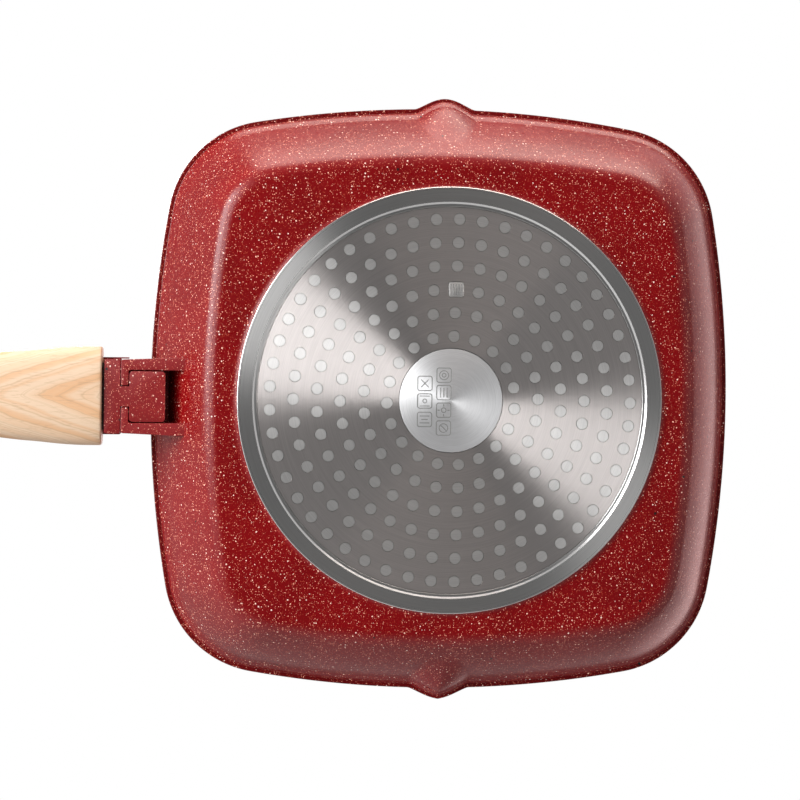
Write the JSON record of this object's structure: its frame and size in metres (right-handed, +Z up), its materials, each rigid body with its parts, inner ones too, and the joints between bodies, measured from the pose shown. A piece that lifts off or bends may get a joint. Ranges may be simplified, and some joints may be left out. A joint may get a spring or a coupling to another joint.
{
  "type": "square grill pan",
  "caption": "Square cast grill pan with bowed sides, two pouring lips, a ribbed floor, a perforated steel base disc and a detachable wooden handle.",
  "frame": {"origin": "centre of the round foot, on the surface that the pan stands on", "axes": "+Z up, the handle points along -X, and the pouring lips are at +Y and -Y"},
  "size_m": [0.4582, 0.2908, 0.0504],
  "materials": {
    "red_speckled_coat": "deep red satin non-stick coat with cream and black flecks, on cast aluminium",
    "brushed_disc_steel": "lathe-turned stainless steel with fine concentric lines",
    "spring_steel": "satin spring steel",
    "black_polymer": "matte black moulded polymer",
    "zinc_steel": "zinc-plated steel",
    "pale_wood": "oiled pale wood with cathedral grain"
  },
  "bodies": {
    "pan": {"pan_body": "red_speckled_coat", "induction_disc": "brushed_disc_steel"},
    "handle": {"handle_head": "red_speckled_coat", "head_cover": "red_speckled_coat", "latch_leaf": "spring_steel", "cover_screw_left": "zinc_steel", "cover_screw_right": "zinc_steel", "heat_washer": "black_polymer", "grip": "pale_wood", "tie_rod": "zinc_steel", "rod_washer": "zinc_steel", "rod_nut": "zinc_steel"},
    "latch": {"thumb_slide": "black_polymer"}
  },
  "joints": [
    {"name": "handle_drop", "type": "slide", "parent": "pan", "child": "handle", "axis": [0, 0, 1], "range_m": [-0.0145, 0], "deforming": ["latch_leaf"]},
    {"name": "thumb_pull", "type": "slide", "parent": "handle", "child": "latch", "axis": [1, 0, 0], "range_m": [-0.0035, 0], "stiffness_N_per_m": 900, "springref_m": 0.003, "deforming": ["latch_leaf"]}
  ]
}
